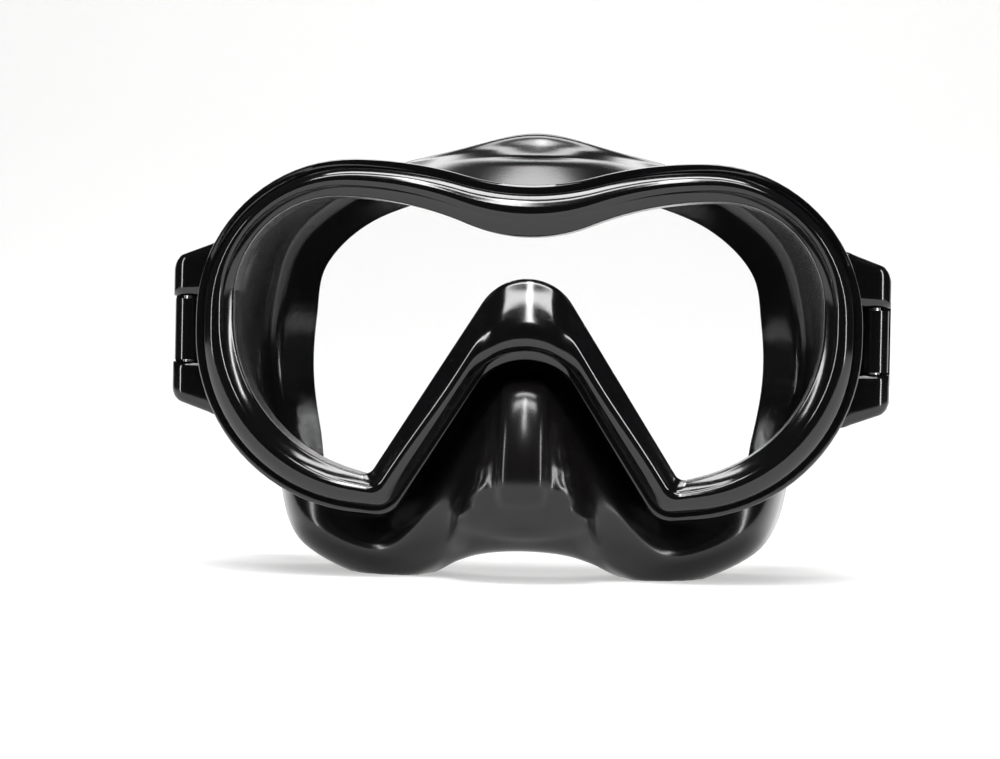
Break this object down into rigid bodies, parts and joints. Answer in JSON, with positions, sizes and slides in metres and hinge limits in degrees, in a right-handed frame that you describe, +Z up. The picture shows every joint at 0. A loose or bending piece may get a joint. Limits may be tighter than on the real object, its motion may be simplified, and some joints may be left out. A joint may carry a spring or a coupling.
{
  "type": "diving mask",
  "caption": "One-window diving mask with a flat lens, glossy frame, soft skirt with nose pocket, and swivelling strap buckles.",
  "frame": {"origin": "bottom centre of the bounding box, where the two lower lobes of the skirt rest", "axes": "+Z up, -Y towards the front of the lens, +X to the viewer's right when facing the lens"},
  "size_m": [0.1798, 0.0807, 0.1134],
  "materials": {
    "frame_gloss": "glossy black",
    "lens_glass": "clear tempered glass",
    "silicone": "smooth black silicone",
    "buckle_plastic": "glossy black",
    "steel": "stainless"
  },
  "bodies": {
    "mask": {"bezel": "frame_gloss", "frame": "frame_gloss", "lens": "lens_glass", "skirt": "silicone", "left_swivel_pin": "steel", "right_swivel_pin": "steel"},
    "left_buckle_body": {"left_buckle": "buckle_plastic", "left_roller_pin": "steel", "left_latch_pin": "steel", "left_latch_spring": "steel"},
    "left_roller_body": {"left_roller": "buckle_plastic"},
    "left_latch_body": {"left_latch": "buckle_plastic"},
    "right_buckle_body": {"right_buckle": "buckle_plastic", "right_roller_pin": "steel", "right_latch_pin": "steel", "right_latch_spring": "steel"},
    "right_roller_body": {"right_roller": "buckle_plastic"},
    "right_latch_body": {"right_latch": "buckle_plastic"}
  },
  "joints": [
    {"name": "left_buckle_swivel", "type": "hinge", "parent": "mask", "child": "left_buckle_body", "pos_m": [-0.0852, -0.015, 0.0605], "axis": [0, 0, 1], "range_deg": [-2, 30]},
    {"name": "left_roller_spin", "type": "hinge", "parent": "left_buckle_body", "child": "left_roller_body", "pos_m": [-0.0835, 0.0095, 0.06], "axis": [0, 0, 1], "continuous": true},
    {"name": "left_latch_pivot", "type": "hinge", "parent": "left_buckle_body", "child": "left_latch_body", "pos_m": [-0.0871, -0.0035, 0.06], "axis": [0, 0, 1], "range_deg": [0, 12], "stiffness_Nm_per_rad": 0.02, "springref_deg": -11.46},
    {"name": "right_buckle_swivel", "type": "hinge", "parent": "mask", "child": "right_buckle_body", "pos_m": [0.0852, -0.015, 0.0605], "axis": [0, 0, -1], "range_deg": [-2, 30]},
    {"name": "right_roller_spin", "type": "hinge", "parent": "right_buckle_body", "child": "right_roller_body", "pos_m": [0.0835, 0.0095, 0.06], "axis": [0, 0, 1], "continuous": true},
    {"name": "right_latch_pivot", "type": "hinge", "parent": "right_buckle_body", "child": "right_latch_body", "pos_m": [0.0871, -0.0035, 0.06], "axis": [0, 0, -1], "range_deg": [0, 12], "stiffness_Nm_per_rad": 0.02, "springref_deg": -11.46}
  ]
}
